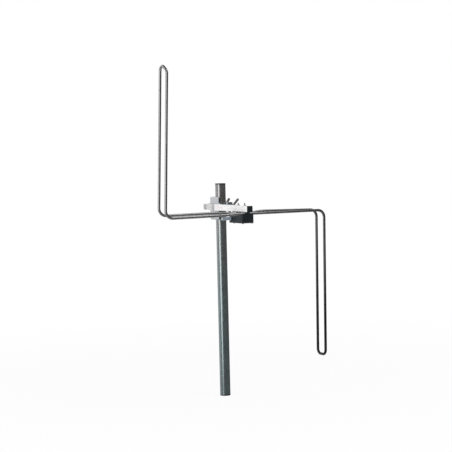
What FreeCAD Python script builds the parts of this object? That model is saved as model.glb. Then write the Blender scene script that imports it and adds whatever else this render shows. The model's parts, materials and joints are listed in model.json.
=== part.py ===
# FM antenna: a folded dipole bent into an S, on a short boom that is clamped to a mast tube.
# Millimetres. Origin on the mast's axis at its lower end, +Z up, +X along the level rods, +Y to the back.
import FreeCAD, Part
import math
import os

V = FreeCAD.Vector
X_AXIS, Y_AXIS, Z_AXIS = V(1, 0, 0), V(0, 1, 0), V(0, 0, 1)

# Mast tube
mast_od = 32.0
mast_wall = 1.5
mast_length = 659.0
mast_above_rods = 86.0

# Rod loop
rod_d = 8.0
loop_width = 533.0
loop_shift = 0.5
loop_forward = 200.0
rod_spacing = 44.0
left_arm = 418.0
right_arm = 441.0
left_lean_deg = 2.2
right_lean_deg = 0.6
arm_bend_r = 22.0
end_bend_r = 15.0
top_skew = 25.5
left_twist = 3.0
far_spread = 4.0
near_spread = 2.0
spread_clear = 10.0
spread_run = 42.0
spread_bend_r = 200.0
feed_gap = 12.0

# Boom
boom_size = 18.0
boom_wall = 1.5
boom_corner_r = 1.2
boom_front_over = 38.0
boom_rear_over = 36.0
plug_flange = 2.5
plug_depth = 6.0
plug_clearance = 0.15

# Connection box and rod saddle
box_width = 40.0
box_front_lip = 1.0
box_height = 24.0
box_wall = 2.5
box_roof = 7.0
box_corner_r = 4.0
lid_thickness = 3.0
gasket_thickness = 1.0
rod_groove_clearance = 0.15
rod_saddle_gap = 0.7
rod_saddle_top = 5.2

# Screws of the box
lid_screw_d = 2.5
lid_screw_length = 12.0
lid_screw_head_d = 5.6
lid_screw_head_h = 1.8
lid_boss_d = 8.0
lid_boss_from_rod = 11.0
box_bolt_d = 4.0
box_bolt_end = 5.0
box_bolt_places = (-8.0, 30.5)
small_nut_across = 7.0
small_nut_h = 3.2
bolt_head_d = 7.0
bolt_head_h = 2.6
hole_clearance = 0.2

# Terminals and matching transformer
terminal_d = 4.0
terminal_inset = 4.3
terminal_flat_depth = 1.0
terminal_flat_length = 9.0
tag_thickness = 0.8
tag_width = 7.2
tag_drop = 7.0
board_width = 26.0
board_length = 30.0
board_thickness = 1.6
core_width = 14.0
core_length = 13.0
core_height = 6.0
core_bore_d = 3.8
winding_wire_d = 0.7
winding_pitch = 0.8
winding_turns = 4

# Coaxial socket
socket_d = 9.5
socket_length = 26.0
socket_shank_d = 9.0
socket_hex_across = 12.0
socket_hex_h = 3.0
socket_nut_h = 2.5
socket_drop = 15.5
socket_boss_gap = 1.5
socket_corner_gap = 2.0
socket_bore_d = 6.6
contact_bore_d = 1.4
insulator_clearance = 0.05

# Mast clamp
clamp_plate = 2.0
clamp_half_length = 34.0
clamp_corner_r = 4.0
clamp_bend_r = 2.6
saddle_reach = 20.0
saddle_height = 70.0
saddle_drop = 4.5
saddle_half_length = 27.0
saddle_ear_height = 24.0
jaw_reach = 21.0
jaw_height = 28.0
flange_tip_gap = 4.0
grip_gap = 0.3
tooth_pitch = 2.5
tooth_depth = 1.1
rivet_d = 4.0
rivet_head_d = 6.6
rivet_head_h = 1.2
rivet_tail_d = 5.4
rivet_tail_h = 2.2
rivet_spacing = 20.0

# Clamp bolts and wing nuts
clamp_bolt_d = 8.0
clamp_bolt_spacing = 50.0
clamp_bolt_over = 27.0
coach_head_d = 17.0
coach_head_h = 4.0
coach_neck = 8.2
washer_d = 16.0
washer_thickness = 1.6
nut_length = 10.0
nut_base_d = 15.0
nut_nose_d = 12.5
nut_bore_clearance = 0.05
wing_thickness = 2.6
wing_tip_out = 21.0
wing_tip_along = 20.0
wing_tip_r = 3.7
wing_turn_deg = 10.0

# Places that follow from the sizes
mast_r = mast_od / 2
rod_height = mast_length - mast_above_rods
rod_r = rod_d / 2
boom_x = -(saddle_reach + clamp_plate + boom_size / 2)
boom_bottom = rod_height + rod_saddle_top
boom_mid = boom_bottom + boom_size / 2
boom_top = boom_bottom + boom_size
boom_left = boom_x - boom_size / 2
boom_right = boom_x + boom_size / 2
boom_front = -loop_forward - boom_front_over
loop_x = boom_x + loop_shift
near_y = -loop_forward - rod_spacing / 2
far_y = -loop_forward + rod_spacing / 2
box_front = near_y - rod_r - box_front_lip
lid_row_back = far_y + lid_boss_from_rod
socket_y = lid_row_back + lid_boss_d / 2 + socket_boss_gap + socket_hex_across / 2
box_back = socket_y + socket_hex_across / 2 + socket_corner_gap + box_wall
box_y = (box_front + box_back) / 2
box_length = box_back - box_front
box_left = boom_x - box_width / 2
box_right = boom_x + box_width / 2
box_rim = rod_height - box_height
roof_under = rod_height - box_roof
lid_top = box_rim - gasket_thickness
board_top = roof_under - tag_drop
terminal_offset = box_width / 2 - box_wall - terminal_inset
rod_saddle_width = 2 * (terminal_offset - bolt_head_d / 2 - rod_saddle_gap)
socket_z = rod_height - socket_drop
socket_inside = box_wall + socket_nut_h + 1.0


def block(low, high):
    """Box between two corners."""
    return Part.makeBox(high[0] - low[0], high[1] - low[1], high[2] - low[2], V(*low))


def edges_along(shape, axis):
    """Straight edges of a shape that run along one axis."""
    found = []
    for edge in shape.Edges:
        if isinstance(edge.Curve, Part.Line) and abs(edge.Curve.Direction.dot(axis)) > 0.999:
            found.append(edge)
    return found


def rounded_block(low, high, axis, radius):
    """Box whose four edges along one axis are rounded."""
    body = block(low, high)
    return body.makeFillet(radius, edges_along(body, axis))


def round_bar(start, axis, diameter, length):
    """Solid cylinder from a point along an axis."""
    return Part.makeCylinder(diameter / 2, length, V(*start), axis)


def tube(start, axis, outer, inner, length):
    """Hollow cylinder from a point along an axis."""
    return round_bar(start, axis, outer, length).cut(round_bar(start, axis, inner, length))


def hexagon(centre, axis, across, height):
    """Hexagonal prism on a base centre, with its flats a given distance apart."""
    side = V(0, 0, 1) if abs(axis.z) < 0.5 else V(1, 0, 0)
    other = axis.cross(side)
    reach = across / math.sqrt(3)
    points = []
    for step in range(7):
        turn = math.radians(60 * step)
        points.append(V(*centre) + side * (reach * math.cos(turn)) + other * (reach * math.sin(turn)))
    return Part.Face(Part.makePolygon(points)).extrude(axis * height)


def dome(centre, axis, diameter, height):
    """Low round head, flat on its base centre and rising along the axis."""
    side = V(0, 0, 1) if abs(axis.z) < 0.5 else V(1, 0, 0)
    radius = (diameter * diameter / 4 + height * height) / (2 * height)
    base = V(*centre)
    rim = base + side * (diameter / 2)
    top = base + axis * height
    turn = math.atan2(diameter / 2, radius - height) / 2
    middle = top - axis * radius + (axis * math.cos(turn) + side * math.sin(turn)) * radius
    outline = [Part.LineSegment(base, rim).toShape(), Part.Arc(rim, middle, top).toShape(),
               Part.LineSegment(top, base).toShape()]
    return Part.Face(Part.Wire(outline)).revolve(base, axis, 360)


def pan_head(centre, axis, diameter, height):
    """Low head with a chamfered rim, flat on its base centre."""
    head = Part.makeCylinder(diameter / 2, height, V(*centre), axis)
    top = V(*centre) + axis * height
    rim = [edge for edge in head.Edges if (edge.CenterOfMass - top).Length < 0.01]
    return head.makeChamfer(height * 0.45, rim)


def rounded_path(points, radii):
    """Wire of straight runs through the points, with a tangent arc at each inner point."""
    points = [V(*point) for point in points]
    edges = []
    here = points[0]
    for before, corner, after, radius in zip(points, points[1:], points[2:], radii):
        come = (corner - before).normalize()
        go = (after - corner).normalize()
        turn = come.getAngle(go)
        tangent = radius * math.tan(turn / 2)
        inward = (go - come).normalize()
        first = corner - come * tangent
        middle = corner + inward * (radius / math.cos(turn / 2) - radius)
        last = corner + go * tangent
        edges.append(Part.LineSegment(here, first).toShape())
        edges.append(Part.Arc(first, middle, last).toShape())
        here = last
    edges.append(Part.LineSegment(here, points[-1]).toShape())
    return Part.Wire(edges)


def swept_rod(path, diameter):
    """Round rod along a wire that starts with a straight run."""
    start = path.Edges[0].Curve.value(path.Edges[0].FirstParameter)
    heading = path.Edges[0].tangentAt(path.Edges[0].FirstParameter)
    ring = Part.Wire(Part.makeCircle(diameter / 2, start, heading))
    return path.makePipeShell([ring], True, False)


def mast_tube():
    return tube((0, 0, 0), Z_AXIS, mast_od, mast_od - 2 * mast_wall, mast_length)


def terminal_places():
    return [boom_x - terminal_offset, boom_x + terminal_offset]


def dipole_rod():
    left = loop_x - loop_width / 2
    right = loop_x + loop_width / 2
    left_slope = math.tan(math.radians(left_lean_deg))
    right_slope = math.tan(math.radians(right_lean_deg))
    far_top = left_arm + top_skew
    foot_x = right - right_slope * right_arm
    foot_z = rod_height - right_arm
    out_left, out_right = box_left - spread_clear, box_right + spread_clear
    spread_left, spread_right = out_left - spread_run, out_right + spread_run
    points = [
        (boom_x - feed_gap / 2, far_y, rod_height),
        (out_left, far_y, rod_height),
        (spread_left, far_y, rod_height + far_spread),
        (left, far_y, rod_height + left_twist),
        (left + left_slope * far_top, far_y, rod_height + far_top),
        (left + left_slope * left_arm, near_y, rod_height + left_arm),
        (left, near_y, rod_height - left_twist),
        (spread_left, near_y, rod_height - near_spread),
        (out_left, near_y, rod_height),
        (right, near_y, rod_height),
        (foot_x, near_y, foot_z),
        (foot_x, far_y, foot_z),
        (right, far_y, rod_height),
        (spread_right, far_y, rod_height + far_spread),
        (out_right, far_y, rod_height),
        (boom_x + feed_gap / 2, far_y, rod_height),
    ]
    arm = [arm_bend_r, end_bend_r, end_bend_r, arm_bend_r]
    spread = [spread_bend_r, spread_bend_r]
    radii = spread + arm + spread + arm + spread
    loop = swept_rod(rounded_path(points, radii), rod_d)
    flat_z = rod_height + rod_r - terminal_flat_depth
    for place in terminal_places():
        flat = block((place - terminal_flat_length / 2, far_y - rod_d, flat_z),
                     (place + terminal_flat_length / 2, far_y + rod_d, rod_height + rod_d))
        hole = round_bar((place, far_y, rod_height - rod_d), Z_AXIS, terminal_d + hole_clearance, 2 * rod_d)
        loop = loop.cut(flat).cut(hole)
    return loop


def clamp_bolt_places():
    return {"front": -clamp_bolt_spacing / 2, "rear": clamp_bolt_spacing / 2}


def rivet_places():
    return [-rivet_spacing / 2, rivet_spacing / 2]


def box_bolt_ys():
    return [-loop_forward + place for place in box_bolt_places]


def boom_tube():
    low = (boom_left, boom_front, boom_bottom)
    high = (boom_right, boom_rear_over, boom_top)
    body = rounded_block(low, high, Y_AXIS, boom_corner_r)
    hollow = block((boom_left + boom_wall, boom_front, boom_bottom + boom_wall),
                   (boom_right - boom_wall, boom_rear_over, boom_top - boom_wall))
    body = body.cut(hollow)
    neck = (coach_neck + hole_clearance) / 2
    for place in clamp_bolt_places().values():
        body = body.cut(block((boom_left, place - neck, boom_mid - neck),
                              (boom_left + boom_wall, place + neck, boom_mid + neck)))
        body = body.cut(round_bar((boom_x, place, boom_mid), X_AXIS,
                                  clamp_bolt_d + 2 * hole_clearance, boom_size))
    for place in rivet_places():
        body = body.cut(round_bar((boom_x, place, boom_mid), X_AXIS, rivet_d + hole_clearance, boom_size))
    for place in box_bolt_ys():
        body = body.cut(round_bar((boom_x, place, boom_bottom), Z_AXIS,
                                  box_bolt_d + hole_clearance, boom_size))
    return body


def end_plug(mouth_y, outward):
    """Moulded plug: a thin square head outside the boom's mouth and a hollow spigot inside it."""
    face_y = mouth_y + outward * plug_flange
    head = rounded_block((boom_left, min(mouth_y, face_y), boom_bottom),
                         (boom_right, max(mouth_y, face_y), boom_top), Y_AXIS, boom_corner_r)
    rim = [edge for edge in head.Edges if abs(edge.CenterOfMass.y - face_y) < 0.01]
    head = head.makeChamfer(plug_flange * 0.3, rim)
    reach = boom_size / 2 - boom_wall - plug_clearance
    end_y = mouth_y - outward * plug_depth
    spigot = block((boom_x - reach, min(mouth_y, end_y), boom_mid - reach),
                   (boom_x + reach, max(mouth_y, end_y), boom_mid + reach))
    inner = reach - boom_wall
    spigot = spigot.cut(block((boom_x - inner, min(mouth_y, end_y), boom_mid - inner),
                              (boom_x + inner, max(mouth_y, end_y), boom_mid + inner)))
    return head.fuse(spigot).removeSplitter()


def rod_grooves(low_x, high_x):
    """Round channels for the two level rods."""
    groove_d = rod_d + 2 * rod_groove_clearance
    near = round_bar((low_x, near_y, rod_height), X_AXIS, groove_d, high_x - low_x)
    far = round_bar((low_x, far_y, rod_height), X_AXIS, groove_d, high_x - low_x)
    return near.fuse(far)


def rod_saddle():
    half = rod_saddle_width / 2
    body = rounded_block((boom_x - half, box_front, rod_height), (boom_x + half, box_back, boom_bottom),
                         Z_AXIS, box_corner_r)
    body = body.cut(rod_grooves(boom_x - half, boom_x + half))
    for place in box_bolt_ys():
        body = body.cut(round_bar((boom_x, place, rod_height), Z_AXIS,
                                  box_bolt_d + hole_clearance, rod_saddle_top))
    return body


def lid_screw_places():
    inset = box_wall + lid_boss_d / 2 - box_wall / 2
    half_x = box_width / 2 - inset
    rows = (box_front + inset, lid_row_back)
    return [(boom_x + side * half_x, row) for side in (-1, 1) for row in rows]


def box_outline(low_z, high_z, inset):
    """Rounded block with the box's plan, drawn in by an inset."""
    half_x = box_width / 2 - inset
    half_y = box_length / 2 - inset
    return rounded_block((boom_x - half_x, box_y - half_y, low_z), (boom_x + half_x, box_y + half_y, high_z),
                         Z_AXIS, box_corner_r - min(inset, 0.6 * box_corner_r))


def box_body():
    body = box_outline(box_rim, rod_height, 0).cut(box_outline(box_rim, roof_under, box_wall))
    pilot_depth = lid_screw_length - lid_thickness - gasket_thickness + 1.0
    for x, y in lid_screw_places():
        boss = round_bar((x, y, box_rim), Z_AXIS, lid_boss_d, roof_under - box_rim)
        body = body.fuse(boss.common(box_outline(box_rim, roof_under, 0)))
    for x, y in lid_screw_places():
        body = body.cut(round_bar((x, y, box_rim), Z_AXIS, lid_screw_d + hole_clearance / 2, pilot_depth))
    body = body.removeSplitter()
    body = body.cut(rod_grooves(boom_x - box_width / 2, boom_x + box_width / 2))
    for place in box_bolt_ys():
        body = body.cut(round_bar((boom_x, place, roof_under), Z_AXIS, box_bolt_d + hole_clearance, box_roof))
    for place in terminal_places():
        body = body.cut(round_bar((place, far_y, roof_under), Z_AXIS, terminal_d + hole_clearance, box_roof))
    mouth = (box_left, socket_y, socket_z)
    return body.cut(round_bar(mouth, X_AXIS, socket_shank_d + hole_clearance, box_wall))


def box_gasket():
    ring = box_outline(lid_top, box_rim, 0).cut(box_outline(lid_top, box_rim, box_wall))
    for x, y in lid_screw_places():
        eye = round_bar((x, y, lid_top), Z_AXIS, lid_boss_d, gasket_thickness)
        ring = ring.fuse(eye.common(box_outline(lid_top, box_rim, 0)))
    for x, y in lid_screw_places():
        ring = ring.cut(round_bar((x, y, lid_top), Z_AXIS,
                                  lid_screw_d + 2 * hole_clearance, gasket_thickness))
    return ring.removeSplitter()


def box_lid():
    lid = box_outline(lid_top - lid_thickness, lid_top, 0)
    rim = [edge for edge in lid.Edges if abs(edge.CenterOfMass.z - (lid_top - lid_thickness)) < 0.01]
    lid = lid.makeChamfer(lid_thickness * 0.4, rim)
    for x, y in lid_screw_places():
        lid = lid.cut(round_bar((x, y, lid_top - lid_thickness), Z_AXIS,
                                lid_screw_d + 2 * hole_clearance, lid_thickness))
    return lid


def lid_screws():
    screws = []
    under = lid_top - lid_thickness
    for x, y in lid_screw_places():
        head = pan_head((x, y, under), -Z_AXIS, lid_screw_head_d, lid_screw_head_h)
        shank = round_bar((x, y, under), Z_AXIS, lid_screw_d, lid_screw_length)
        screws.append(head.fuse(shank).removeSplitter())
    return Part.makeCompound(screws)


def box_bolts():
    """Bolts with their heads under the box's roof, up through the saddle and the boom."""
    bolts = []
    length = boom_top - roof_under + small_nut_h + box_bolt_end
    for place in box_bolt_ys():
        head = hexagon((boom_x, place, roof_under), -Z_AXIS, bolt_head_d, bolt_head_h)
        shank = round_bar((boom_x, place, roof_under), Z_AXIS, box_bolt_d, length)
        bolts.append(head.fuse(shank).removeSplitter())
    return Part.makeCompound(bolts)


def small_nut(x, y, z):
    """Hexagon nut standing on a level face."""
    nut = hexagon((x, y, z), Z_AXIS, small_nut_across, small_nut_h)
    return nut.cut(round_bar((x, y, z), Z_AXIS, box_bolt_d + hole_clearance / 2, small_nut_h))


def box_nuts():
    return Part.makeCompound([small_nut(boom_x, place, boom_top) for place in box_bolt_ys()])


def terminal_screws():
    """Screws down through the rod's flats and the box's roof."""
    screws = []
    flat_z = rod_height + rod_r - terminal_flat_depth
    end_z = roof_under - tag_thickness - small_nut_h - terminal_d / 2
    for place in terminal_places():
        head = round_bar((place, far_y, flat_z), Z_AXIS, bolt_head_d, bolt_head_h)
        slot = block((place - bolt_head_d, far_y - 0.1 * bolt_head_d, flat_z + 0.5 * bolt_head_h),
                     (place + bolt_head_d, far_y + 0.1 * bolt_head_d, flat_z + bolt_head_h))
        shank = round_bar((place, far_y, end_z), Z_AXIS, terminal_d, flat_z - end_z)
        screws.append(head.cut(slot).fuse(shank).removeSplitter())
    return Part.makeCompound(screws)


def terminal_nuts():
    under = roof_under - tag_thickness - small_nut_h
    return Part.makeCompound([small_nut(place, far_y, under) for place in terminal_places()])


def terminal_tag(place):
    """Bent brass strip: an eye under the roof, a drop and a foot on the board."""
    inward = 1 if place < boom_x else -1
    half = tag_width / 2
    front = far_y - tag_width - small_nut_across / 2
    eye = block((place - half, front, roof_under - tag_thickness), (place + half, far_y + half, roof_under))
    drop = block((place - half, front, board_top), (place + half, front + tag_thickness, roof_under))
    foot_x = place + inward * tag_width
    foot = block((min(place - half, foot_x - half), front - tag_width, board_top),
                 (max(place + half, foot_x + half), front + tag_thickness, board_top + tag_thickness))
    hole = round_bar((place, far_y, roof_under - tag_drop), Z_AXIS, terminal_d + hole_clearance, tag_drop)
    return eye.fuse(drop).fuse(foot).removeSplitter().cut(hole)


def terminal_tags():
    return Part.makeCompound([terminal_tag(place) for place in terminal_places()])


def board_front():
    return far_y - 2 * tag_width - small_nut_across / 2 - board_length / 2


def balun_board():
    low_y = board_front()
    return block((boom_x - board_width / 2, low_y, board_top - board_thickness),
                 (boom_x + board_width / 2, low_y + board_length, board_top))


def core_middle():
    return board_front() + board_length / 2


def core_bores():
    return [boom_x - core_width / 4, boom_x + core_width / 4]


def balun_core():
    top = board_top - board_thickness
    half_x = core_width / 2
    half_y = core_length / 2
    core = rounded_block((boom_x - half_x, core_middle() - half_y, top - core_height),
                         (boom_x + half_x, core_middle() + half_y, top), Y_AXIS, core_height * 0.3)
    for bore_x in core_bores():
        core = core.cut(round_bar((bore_x, core_middle() - half_y, top - core_height / 2),
                                  Y_AXIS, core_bore_d, core_length))
    return core


def balun_winding():
    """Turns through the core's two bores, laid one above another."""
    turns = []
    left, right = core_bores()
    middle_z = board_top - board_thickness - core_height / 2
    half = winding_wire_d / 2
    reach = core_length / 2 + winding_wire_d
    for turn in range(winding_turns):
        low_z = middle_z + (turn - winding_turns / 2) * winding_pitch
        high_z = low_z + winding_wire_d
        outer = block((left - half, core_middle() - reach, low_z),
                      (right + half, core_middle() + reach, high_z))
        inner = block((left + half, core_middle() - reach + winding_wire_d, low_z),
                      (right - half, core_middle() + reach - winding_wire_d, high_z))
        turns.append(outer.cut(inner))
    return Part.makeCompound(turns)


def coax_socket():
    """Threaded barrel outside, hexagon flange on the box's left face and a shank through its wall."""
    face = (box_left, socket_y, socket_z)
    flange = hexagon(face, -X_AXIS, socket_hex_across, socket_hex_h)
    barrel = round_bar((box_left - socket_hex_h, socket_y, socket_z), -X_AXIS, socket_d, socket_length)
    shank = round_bar(face, X_AXIS, socket_shank_d, socket_inside)
    body = flange.fuse(barrel).fuse(shank).removeSplitter()
    return body.cut(round_bar((box_left + socket_inside, socket_y, socket_z), -X_AXIS, socket_bore_d,
                              socket_inside + socket_hex_h + socket_length))


def coax_nut():
    face = (box_left + box_wall, socket_y, socket_z)
    nut = hexagon(face, X_AXIS, socket_hex_across, socket_nut_h)
    return nut.cut(round_bar(face, X_AXIS, socket_shank_d + hole_clearance / 2, socket_nut_h))


def coax_insulator():
    return tube((box_left + socket_inside, socket_y, socket_z), -X_AXIS,
                socket_bore_d - 2 * insulator_clearance, contact_bore_d,
                socket_inside + socket_hex_h + socket_length)


def grip_flange(reach, side, half_length, low_z):
    """Level flange of a clamp piece, with a toothed V notch that takes the mast."""
    grip = (mast_r + grip_gap) * math.sqrt(2)
    outer = reach + clamp_plate
    run = (reach - flange_tip_gap) * math.sqrt(2)
    teeth = int(run / tooth_pitch)
    step = (reach - flange_tip_gap) / teeth
    root = tooth_depth / math.sqrt(2)
    notch = []
    for tooth in range(teeth):
        tip = flange_tip_gap + tooth * step
        notch.append((tip, grip - tip))
        notch.append((tip + step / 2 + root, grip - tip - step / 2 + root))
    notch.append((reach, grip - reach))
    upper = [(outer, half_length), (flange_tip_gap, half_length)] + notch
    lower = [(out, -along) for out, along in reversed(upper)]
    corners = [V(side * out, along, low_z) for out, along in upper + lower]
    flange = Part.Face(Part.makePolygon(corners + corners[:1])).extrude(Z_AXIS * clamp_plate)
    tips = []
    for edge in edges_along(flange, Z_AXIS):
        middle = edge.CenterOfMass
        if abs(abs(middle.y) - half_length) < 0.01 and abs(abs(middle.x) - flange_tip_gap) < 0.01:
            tips.append(edge)
    return flange.makeFillet(clamp_corner_r, tips)


def clamp_channel(reach, side, half_length, low_z, height):
    """Pressed channel: an upright web and two toothed flanges towards the mast."""
    inner = side * reach
    outer = side * (reach + clamp_plate)
    web = block((min(inner, outer), -half_length, low_z), (max(inner, outer), half_length, low_z + height))
    body = web.fuse(grip_flange(reach, side, half_length, low_z))
    body = body.fuse(grip_flange(reach, side, half_length, low_z + height - clamp_plate)).removeSplitter()
    bends = []
    for edge in edges_along(body, Y_AXIS):
        middle = edge.CenterOfMass
        on_back = abs(middle.x - outer) < 0.01
        if on_back and abs(abs(middle.z - low_z - height / 2) - height / 2) < 0.01:
            bends.append(edge)
    return body.makeFillet(clamp_bend_r, bends)


def clamp_bolt_holes(low_x):
    """Cutters for the clamp bolts through a plate."""
    holes = [round_bar((low_x, place, boom_mid), X_AXIS, clamp_bolt_d + 2 * hole_clearance, clamp_plate)
             for place in clamp_bolt_places().values()]
    return holes[0].fuse(holes[1:])


def mast_saddle():
    """Tall channel between boom and mast, with ears for the bolts behind the boom."""
    body = clamp_channel(saddle_reach, -1, saddle_half_length, boom_mid - saddle_drop - saddle_height / 2,
                         saddle_height)
    ears = rounded_block((boom_right, -clamp_half_length, boom_mid - saddle_ear_height / 2),
                         (-saddle_reach, clamp_half_length, boom_mid + saddle_ear_height / 2),
                         X_AXIS, clamp_corner_r)
    body = body.fuse(ears).removeSplitter().cut(clamp_bolt_holes(boom_right))
    for place in rivet_places():
        body = body.cut(round_bar((boom_right, place, boom_mid), X_AXIS,
                                  rivet_d + hole_clearance, clamp_plate))
    return body


def mast_jaw():
    channel = clamp_channel(jaw_reach, 1, clamp_half_length, boom_mid - jaw_height / 2, jaw_height)
    return channel.cut(clamp_bolt_holes(jaw_reach))


def saddle_rivets():
    rivets = []
    inside = boom_right - boom_wall
    for place in rivet_places():
        shank = round_bar((inside, place, boom_mid), X_AXIS, rivet_d, boom_wall + clamp_plate)
        head = pan_head((-saddle_reach, place, boom_mid), X_AXIS, rivet_head_d, rivet_head_h)
        tail = round_bar((inside - rivet_tail_h, place, boom_mid), X_AXIS, rivet_tail_d, rivet_tail_h)
        rivets.append(shank.fuse(head).fuse(tail).removeSplitter())
    return Part.makeCompound(rivets)


def clamp_bolt(place):
    """Coach bolt: a domed head on the boom's left face, a square neck and a round shank."""
    nut_face = jaw_reach + clamp_plate + washer_thickness
    head = dome((boom_left, place, boom_mid), -X_AXIS, coach_head_d, coach_head_h)
    half = coach_neck / 2
    neck = block((boom_left, place - half, boom_mid - half),
                 (boom_left + boom_wall, place + half, boom_mid + half))
    end_x = nut_face + clamp_bolt_over
    shank = round_bar((boom_left, place, boom_mid), X_AXIS, clamp_bolt_d, end_x - boom_left)
    end = [edge for edge in shank.Edges if edge.CenterOfMass.x > end_x - 0.01]
    shank = shank.makeChamfer(clamp_bolt_d * 0.1, end)
    return head.fuse(neck).fuse(shank).removeSplitter()


def clamp_washer(place):
    return tube((jaw_reach + clamp_plate, place, boom_mid), X_AXIS, washer_d,
                clamp_bolt_d + 2 * hole_clearance, washer_thickness)


def wing_nut(place, turn_deg):
    """Wing nut on its bolt: a tapered hub and two wings that rise away from the washer."""
    base = jaw_reach + clamp_plate + washer_thickness
    foot = V(base, place, boom_mid)
    body = Part.makeCone(nut_base_d / 2, nut_nose_d / 2, nut_length, foot, X_AXIS)
    root_out = nut_nose_d / 4
    slope = math.atan2(wing_tip_out - root_out, wing_tip_along - nut_length / 2)
    across = V(math.sin(slope), 0, -math.cos(slope)) * wing_tip_r
    tip = foot + V(wing_tip_along, -wing_thickness / 2, wing_tip_out)
    corners = [foot + V(nut_length * 0.1, -wing_thickness / 2, root_out),
               foot + V(nut_length * 0.95, -wing_thickness / 2, root_out),
               tip + across, tip - across]
    blade = Part.Face(Part.makePolygon(corners + corners[:1])).extrude(Y_AXIS * wing_thickness)
    blade = blade.fuse(Part.makeCylinder(wing_tip_r, wing_thickness, tip, Y_AXIS))
    for half_turn in (0, 180):
        body = body.fuse(blade.rotated(foot, X_AXIS, half_turn))
    body = body.removeSplitter()
    bore_d = clamp_bolt_d + 2 * nut_bore_clearance
    body = body.cut(round_bar((base, place, boom_mid), X_AXIS, bore_d, wing_tip_along))
    return body.rotated(foot, X_AXIS, turn_deg)


def all_pieces():
    pieces = {
        "mast_tube": mast_tube(),
        "dipole_rod": dipole_rod(),
        "boom_tube": boom_tube(),
        "boom_front_plug": end_plug(boom_front, -1),
        "boom_rear_plug": end_plug(boom_rear_over, 1),
        "rod_saddle": rod_saddle(),
        "box_body": box_body(),
        "box_gasket": box_gasket(),
        "box_lid": box_lid(),
        "lid_screws": lid_screws(),
        "box_bolts": box_bolts(),
        "box_nuts": box_nuts(),
        "terminal_screws": terminal_screws(),
        "terminal_nuts": terminal_nuts(),
        "terminal_tags": terminal_tags(),
        "balun_board": balun_board(),
        "balun_core": balun_core(),
        "balun_winding": balun_winding(),
        "coax_socket": coax_socket(),
        "coax_nut": coax_nut(),
        "coax_insulator": coax_insulator(),
        "mast_saddle": mast_saddle(),
        "saddle_rivets": saddle_rivets(),
        "mast_jaw": mast_jaw(),
    }
    turns = {"front": wing_turn_deg, "rear": -wing_turn_deg}
    for side, place in clamp_bolt_places().items():
        pieces["clamp_bolt_" + side] = clamp_bolt(place)
        pieces["clamp_washer_" + side] = clamp_washer(place)
        pieces["wing_nut_" + side] = wing_nut(place, turns[side])
    return pieces


os.makedirs("parts", exist_ok=True)
for name, piece in all_pieces().items():
    piece.exportStep("parts/" + name + ".step")
    print(name, piece.isValid(), len(piece.Solids), round(piece.Volume, 1))
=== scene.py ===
"""Finishes, threads and label of an S-shaped FM dipole on its mast, and the stage that it is shown on."""

import json
import math
from typing import NamedTuple

import bmesh
import bpy
from bpy.props import FloatProperty, FloatVectorProperty, IntProperty, PointerProperty
from mathutils import Matrix, Vector


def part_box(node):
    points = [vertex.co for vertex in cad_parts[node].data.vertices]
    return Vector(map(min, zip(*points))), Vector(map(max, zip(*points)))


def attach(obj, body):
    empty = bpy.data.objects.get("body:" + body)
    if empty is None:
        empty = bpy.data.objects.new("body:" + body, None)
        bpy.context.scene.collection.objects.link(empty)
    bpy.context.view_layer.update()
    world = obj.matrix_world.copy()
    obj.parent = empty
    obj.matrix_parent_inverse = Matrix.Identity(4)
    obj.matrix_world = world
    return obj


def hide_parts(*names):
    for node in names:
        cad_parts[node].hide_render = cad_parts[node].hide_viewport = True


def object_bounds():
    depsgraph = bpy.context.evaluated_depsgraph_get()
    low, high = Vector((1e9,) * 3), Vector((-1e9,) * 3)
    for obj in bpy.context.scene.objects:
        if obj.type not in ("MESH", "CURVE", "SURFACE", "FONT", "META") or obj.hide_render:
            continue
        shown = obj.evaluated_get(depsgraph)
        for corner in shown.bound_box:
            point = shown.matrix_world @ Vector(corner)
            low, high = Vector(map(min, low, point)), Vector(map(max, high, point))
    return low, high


bl_info = {
    "name": "FM antenna",
    "version": (1, 0, 0),
    "blender": (4, 5, 0),
    "location": "View3D > Sidebar > Antenna",
    "description": "Dresses the packed FM antenna and sets up its stage",
    "category": "Object",
}

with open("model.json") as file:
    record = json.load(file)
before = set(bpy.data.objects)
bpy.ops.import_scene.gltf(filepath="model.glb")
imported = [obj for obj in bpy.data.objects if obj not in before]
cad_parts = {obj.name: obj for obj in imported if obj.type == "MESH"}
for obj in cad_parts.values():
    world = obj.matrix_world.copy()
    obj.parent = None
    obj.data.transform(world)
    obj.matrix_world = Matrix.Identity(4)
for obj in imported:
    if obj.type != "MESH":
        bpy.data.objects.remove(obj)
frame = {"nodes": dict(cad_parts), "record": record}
CAD_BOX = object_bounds()
FRAME_PIXELS = 452
X_AXIS = Vector((1, 0, 0))
Y_AXIS = Vector((0, 1, 0))
Z_AXIS = Vector((0, 0, 1))
WHITE = (1.0, 1.0, 1.0, 1.0)
NO_STRETCH = (1.0, 1.0, 1.0)

# Sockets of a Mix node that blends colours.
MIX_FACTOR, MIX_FIRST, MIX_SECOND, MIX_RESULT = 0, 6, 7, 2
NOISE_ROUGHNESS = 0.55

# A thread's profile: the shares of half a pitch that its crest and its flank take.
THREAD_CREST = 0.12
THREAD_FLANK = 0.76
RINGS_PER_PITCH = 6
# Chamfers at the ends of threads, in thread depths.
BOLT_CHAMFER = 1.5
SOCKET_CHAMFER = 2.0
# The socket's shank in the box's wall, as a share of its barrel's radius.
SHANK_SHARE = 0.94
# A hexagon's chamfer as a share of its height, and the share of its reach that is left at the top.
HEXAGON_CHAMFER = 0.14
HEXAGON_TOP = 0.9
# A lid screw's head: its chamfer as a share of its height, and the cross recess as shares of the head.
LID_CHAMFER = 0.45
CROSS_REACH = 0.5
CROSS_HALF = 0.15
CROSS_DEPTH = 0.6
CROSS_TAPER = 0.7
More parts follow.
